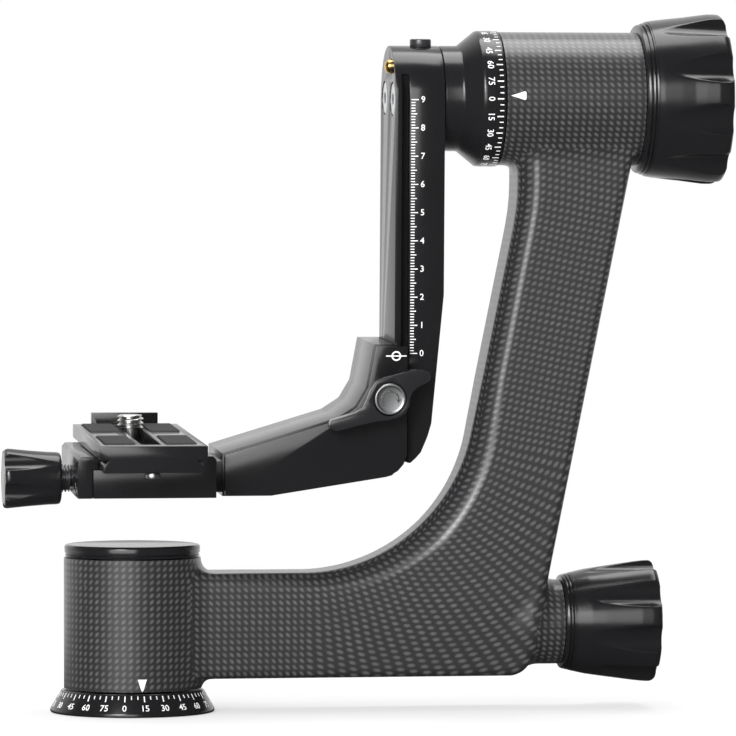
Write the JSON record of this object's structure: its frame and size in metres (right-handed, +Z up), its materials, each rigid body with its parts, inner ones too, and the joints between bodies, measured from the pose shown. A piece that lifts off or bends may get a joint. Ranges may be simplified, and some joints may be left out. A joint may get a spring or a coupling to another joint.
{
  "type": "gimbal head",
  "caption": "Side-mounted gimbal head: panning base, carbon arm, tilting swing arm, sliding platform bracket and quick-release plate.",
  "frame": {"origin": "centre of the base's underside, on the pan axis, where the tripod screw enters", "axes": "+Z up along the pan axis, +X along the tilt axis towards the tilt knob, -Y towards the side with the height scale"},
  "size_m": [0.2576, 0.1034, 0.2485],
  "materials": {
    "carbon": "satin",
    "black_anodised": "satin",
    "black_knob": "gloss",
    "steel": "satin",
    "dark_steel": "satin",
    "bronze": "satin",
    "friction_plastic": "matte",
    "rubber": "matte",
    "brass": "polished",
    "silver": "satin"
  },
  "bodies": {
    "base": {"base_ring": "black_anodised", "base_spindle": "dark_steel", "base_screw_1": "steel", "base_screw_2": "steel", "base_screw_3": "steel", "pan_nut": "dark_steel"},
    "yoke": {"carbon_body": "carbon", "base_cap": "black_anodised", "pan_bearing_lower": "steel", "pan_bearing_upper": "steel", "pan_knob_bush": "bronze", "tilt_bearing_left": "steel", "tilt_bearing_right": "steel", "tilt_end_collar": "dark_steel"},
    "pan_lock": {"pan_push_rod": "steel", "pan_brake_shoe": "friction_plastic"},
    "pan_knob": {"pan_knob": "black_knob", "pan_knob_stem": "steel"},
    "tilt_lock": {"tilt_brake_disc": "friction_plastic"},
    "tilt_knob": {"tilt_knob": "black_knob", "tilt_knob_stem": "steel"},
    "swing": {"tilt_hub": "black_anodised", "tilt_shaft": "dark_steel", "swing_arm": "black_anodised", "arm_bolt_front": "silver", "arm_bolt_rear": "silver", "arm_stop_pin": "brass", "arm_top_screw": "dark_steel"},
    "platform": {"bracket": "black_anodised", "bracket_side_plate": "black_anodised", "side_plate_dowel_1": "dark_steel", "side_plate_dowel_2": "dark_steel", "lever_stud": "steel", "clamp_base": "black_anodised", "clamp_bolt_front": "dark_steel", "clamp_bolt_rear": "dark_steel", "guide_pin_front": "steel", "guide_pin_rear": "steel"},
    "lock_lever": {"lock_lever": "black_anodised", "lever_spring": "steel"},
    "lever_button": {"lever_button": "silver"},
    "clamp_jaw": {"clamp_jaw": "black_anodised"},
    "clamp_knob": {"clamp_knob": "black_knob", "clamp_screw": "dark_steel"},
    "plate": {"quick_plate": "black_anodised", "pad_front_left": "rubber", "pad_front_right": "rubber", "pad_rear_left": "rubber", "pad_rear_right": "rubber", "plate_lip": "black_anodised", "lip_screw_left": "steel", "lip_screw_right": "steel", "stop_screw_front": "silver", "stop_screw_rear": "silver"},
    "screw_carrier": {"screw_washer": "steel"},
    "camera_screw": {"camera_screw": "steel"}
  },
  "joints": [
    {"name": "pan", "type": "hinge", "parent": "base", "child": "yoke", "pos_m": [0, 0, 0], "axis": [0, 0, 1], "continuous": true},
    {"name": "pan_lock_travel", "type": "slide", "parent": "yoke", "child": "pan_lock", "axis": [1, 0, 0], "range_m": [0, 0.0015]},
    {"name": "pan_knob_turn", "type": "hinge", "parent": "pan_lock", "child": "pan_knob", "pos_m": [0.154, 0, 0.0305], "axis": [1, 0, 0], "range_deg": [0, 540]},
    {"name": "tilt", "type": "hinge", "parent": "yoke", "child": "swing", "pos_m": [0, 0, 0.218], "axis": [1, 0, 0], "continuous": true},
    {"name": "tilt_lock_travel", "type": "slide", "parent": "yoke", "child": "tilt_lock", "axis": [1, 0, 0], "range_m": [0, 0.0015]},
    {"name": "tilt_knob_turn", "type": "hinge", "parent": "tilt_lock", "child": "tilt_knob", "pos_m": [0.1815, 0, 0.218], "axis": [1, 0, 0], "range_deg": [0, 540]},
    {"name": "platform_height", "type": "slide", "parent": "swing", "child": "platform", "axis": [0, -0.0436, 0.999], "range_m": [0, 0.09]},
    {"name": "lock_lever_turn", "type": "hinge", "parent": "platform", "child": "lock_lever", "pos_m": [0.0888, -0.02238, 0.11152], "axis": [0, 0.999, 0.0436], "range_deg": [0, 100]},
    {"name": "lever_button_press", "type": "slide", "parent": "lock_lever", "child": "lever_button", "axis": [0, 0.999, 0.0436], "range_m": [0, 0.0012], "stiffness_N_per_m": 500, "springref_m": -0.001},
    {"name": "clamp_jaw_slide", "type": "slide", "parent": "platform", "child": "clamp_jaw", "axis": [-1, 0, 0], "range_m": [0, 0.004]},
    {"name": "clamp_knob_turn", "type": "hinge", "parent": "clamp_jaw", "child": "clamp_knob", "pos_m": [-0.0251, 0.0059, 0.08283], "axis": [-1, 0, 0], "range_deg": [0, 1440]},
    {"name": "plate_slide", "type": "slide", "parent": "platform", "child": "plate", "axis": [0, 0.999, 0.0436], "range_m": [-0.0105, 0.0105]},
    {"name": "camera_screw_slide", "type": "slide", "parent": "plate", "child": "screw_carrier", "axis": [0, 0.999, 0.0436], "range_m": [-0.066, 0.004]},
    {"name": "camera_screw_turn", "type": "hinge", "parent": "screw_carrier", "child": "camera_screw", "pos_m": [0.003, 0.03621, 0.09947], "axis": [0, -0.0436, 0.999], "continuous": true}
  ],
  "couplings": [
    {"joint": "pan_knob_turn", "follows": "pan_lock_travel", "rad_per_m": 6283.2},
    {"joint": "tilt_knob_turn", "follows": "tilt_lock_travel", "rad_per_m": 6283.2},
    {"joint": "clamp_knob_turn", "follows": "clamp_jaw_slide", "rad_per_m": 6283.2}
  ]
}
